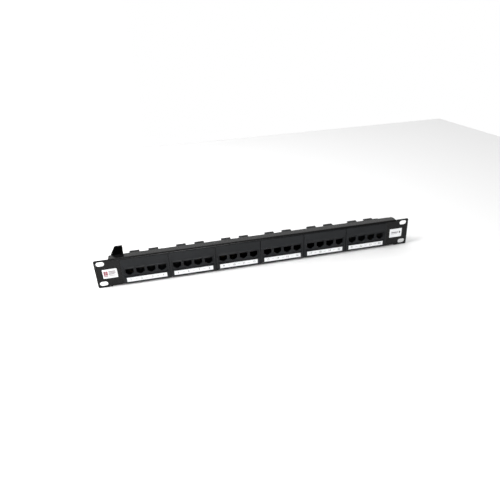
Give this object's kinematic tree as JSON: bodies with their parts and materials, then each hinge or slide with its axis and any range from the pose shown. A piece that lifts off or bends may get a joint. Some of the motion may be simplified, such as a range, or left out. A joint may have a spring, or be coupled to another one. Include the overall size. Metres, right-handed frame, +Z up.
{
  "type": "rack network patch panel",
  "caption": "Rack-width patch panel: network sockets over write-on strips, punch-down blocks behind and folding cable arms at the rear corners.",
  "frame": {"origin": "middle of the rack slot pattern, on the front face of the steel", "axes": "+X to the right seen from the front, +Y to the rear, +Z up"},
  "size_m": [0.4826, 0.0449, 0.0553],
  "materials": {
    "black_steel": "satin powder coat",
    "black_bezel": "fine moulded texture",
    "black_housing": "moulded",
    "gold_wire": "gold plated",
    "circuit_board": "solder resist",
    "plated_screw": "zinc plated",
    "punch_block": "moulded",
    "tinned_blade": "tinned",
    "white_paper": "paper under film",
    "black_arm": "moulded"
  },
  "bodies": {
    "panel": {"arm_bracket_left": "black_steel", "arm_bracket_right": "black_steel", "bezel_1": "black_bezel", "bezel_2": "black_bezel", "bezel_3": "black_bezel", "bezel_4": "black_bezel", "bezel_5": "black_bezel", "bezel_6": "black_bezel", "board_screws": "plated_screw", "circuit_board_1": "circuit_board", "circuit_board_2": "circuit_board", "circuit_board_3": "circuit_board", "circuit_board_4": "circuit_board", "circuit_board_5": "circuit_board", "circuit_board_6": "circuit_board", "contact_blades_1": "tinned_blade", "contact_blades_2": "tinned_blade", "contact_blades_3": "tinned_blade", "contact_blades_4": "tinned_blade", "contact_blades_5": "tinned_blade", "contact_blades_6": "tinned_blade", "front_panel": "black_steel", "label_strip_1": "white_paper", "label_strip_2": "white_paper", "label_strip_3": "white_paper", "label_strip_4": "white_paper", "label_strip_5": "white_paper", "label_strip_6": "white_paper", "lower_punch_blocks_1": "punch_block", "lower_punch_blocks_2": "punch_block", "lower_punch_blocks_3": "punch_block", "lower_punch_blocks_4": "punch_block", "lower_punch_blocks_5": "punch_block", "lower_punch_blocks_6": "punch_block", "pivot_pin_left": "plated_screw", "pivot_pin_right": "plated_screw", "socket_housings_1": "black_housing", "socket_housings_2": "black_housing", "socket_housings_3": "black_housing", "socket_housings_4": "black_housing", "socket_housings_5": "black_housing", "socket_housings_6": "black_housing", "spring_wires_1": "gold_wire", "spring_wires_2": "gold_wire", "spring_wires_3": "gold_wire", "spring_wires_4": "gold_wire", "spring_wires_5": "gold_wire", "spring_wires_6": "gold_wire", "tag_left": "white_paper", "tag_right": "white_paper", "upper_punch_blocks_1": "punch_block", "upper_punch_blocks_2": "punch_block", "upper_punch_blocks_3": "punch_block", "upper_punch_blocks_4": "punch_block", "upper_punch_blocks_5": "punch_block", "upper_punch_blocks_6": "punch_block"},
    "arm_left": {"cable_arm_left": "black_arm"},
    "arm_right": {"cable_arm_right": "black_arm"}
  },
  "joints": [
    {"name": "arm_left_fold", "type": "hinge", "parent": "panel", "child": "arm_left", "pos_m": [-0.21065, 0.0169, 0.007], "axis": [1, 0, 0], "range_deg": [-90, 0]},
    {"name": "arm_right_fold", "type": "hinge", "parent": "panel", "child": "arm_right", "pos_m": [0.21065, 0.0169, 0.007], "axis": [1, 0, 0], "range_deg": [0, 90]}
  ]
}
